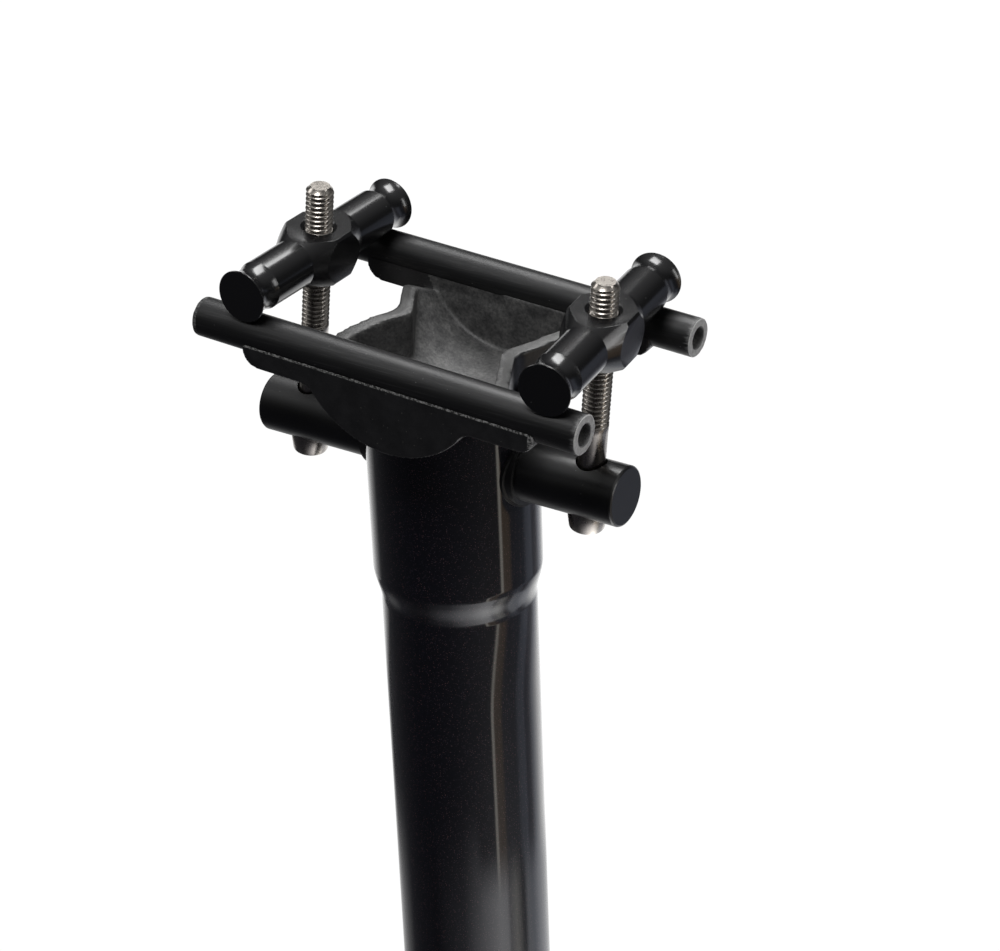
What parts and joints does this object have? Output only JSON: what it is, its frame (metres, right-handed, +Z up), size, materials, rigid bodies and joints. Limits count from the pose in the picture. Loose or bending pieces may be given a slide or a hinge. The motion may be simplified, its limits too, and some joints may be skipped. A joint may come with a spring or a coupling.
{
  "type": "bicycle seatpost",
  "caption": "Straight round seatpost with a two-bolt micro-adjust head: two saddle rails lie in a rocking cradle under two dumbbell clamp bars.",
  "frame": {"origin": "centre of the lower end of the tube, on its axis", "axes": "+X towards the front of the bicycle, +Y towards its left side, +Z up the tube axis to the saddle clamp"},
  "size_m": [0.0862, 0.0508, 0.3741],
  "materials": {
    "clearcoated_carbon": "black clear coat over carbon with a fine dark blue flake, gloss",
    "moulded_carbon": "moulded carbon fibre and resin, satin outside and rough inside",
    "rail_carbon": "satin black with fine lengthwise streaks, pale cut ends",
    "anodised_bar": "black anodised, bright satin",
    "anodised_pin": "black anodised, satin, turned end faces",
    "bush_polymer": "black bearing polymer, satin",
    "washer_steel": "turned, satin",
    "titanium": "rolled thread, warm silver, satin"
  },
  "bodies": {
    "post": {"seatpost_tube": "clearcoated_carbon", "rear_pin_bush": "bush_polymer", "front_pin_bush": "bush_polymer", "cross_pin": "anodised_pin"},
    "cradle": {"rail_cradle": "moulded_carbon"},
    "left_rail": {"left_rail": "rail_carbon"},
    "right_rail": {"right_rail": "rail_carbon"},
    "rear_washer": {"rear_dished_washer": "washer_steel"},
    "front_washer": {"front_dished_washer": "washer_steel"},
    "rear_bar": {"rear_clamp_bar": "anodised_bar"},
    "front_bar": {"front_clamp_bar": "anodised_bar"},
    "rear_bolt": {"rear_clamp_bolt": "titanium"},
    "front_bolt": {"front_clamp_bolt": "titanium"}
  },
  "joints": [
    {"name": "saddle_tilt", "type": "hinge", "parent": "post", "child": "cradle", "pos_m": [0.0024, 0, 0.3554], "axis": [0, 1, 0], "range_deg": [-6, 6]},
    {"name": "left_rail_slide", "type": "slide", "parent": "cradle", "child": "left_rail", "axis": [0.999, 0, -0.0454], "range_m": [-0.004, 0.004]},
    {"name": "right_rail_slide", "type": "slide", "parent": "cradle", "child": "right_rail", "axis": [0.999, 0, -0.0454], "range_m": [-0.004, 0.004]},
    {"name": "rear_bolt_lean", "type": "hinge", "parent": "post", "child": "rear_washer", "pos_m": [-0.0343, 0, 0.3188], "axis": [0, 1, 0], "range_deg": [-2, 2]},
    {"name": "rear_bar_travel", "type": "slide", "parent": "rear_washer", "child": "rear_bar", "axis": [0.1175, 0, 0.9931], "range_m": [-0.0045, 0.0045]},
    {"name": "rear_bolt_spin", "type": "hinge", "parent": "rear_washer", "child": "rear_bolt", "pos_m": [-0.0343, 0, 0.3188], "axis": [0.1175, 0, 0.9931], "continuous": true},
    {"name": "front_bolt_lean", "type": "hinge", "parent": "post", "child": "front_washer", "pos_m": [0.0307, 0, 0.3188], "axis": [0, 1, 0], "range_deg": [-2, 2]},
    {"name": "front_bar_travel", "type": "slide", "parent": "front_washer", "child": "front_bar", "axis": [0.099, 0, 0.9951], "range_m": [-0.0045, 0.0045]},
    {"name": "front_bolt_spin", "type": "hinge", "parent": "front_washer", "child": "front_bolt", "pos_m": [0.0307, 0, 0.3188], "axis": [0.099, 0, 0.9951], "continuous": true}
  ],
  "couplings": [
    {"joint": "rear_bolt_lean", "follows": "saddle_tilt", "ratio": 0.02041},
    {"joint": "rear_bar_travel", "follows": "saddle_tilt", "m_per_rad": 0.032145},
    {"joint": "front_bolt_lean", "follows": "saddle_tilt", "ratio": 0.12686},
    {"joint": "front_bar_travel", "follows": "saddle_tilt", "m_per_rad": -0.031783}
  ]
}
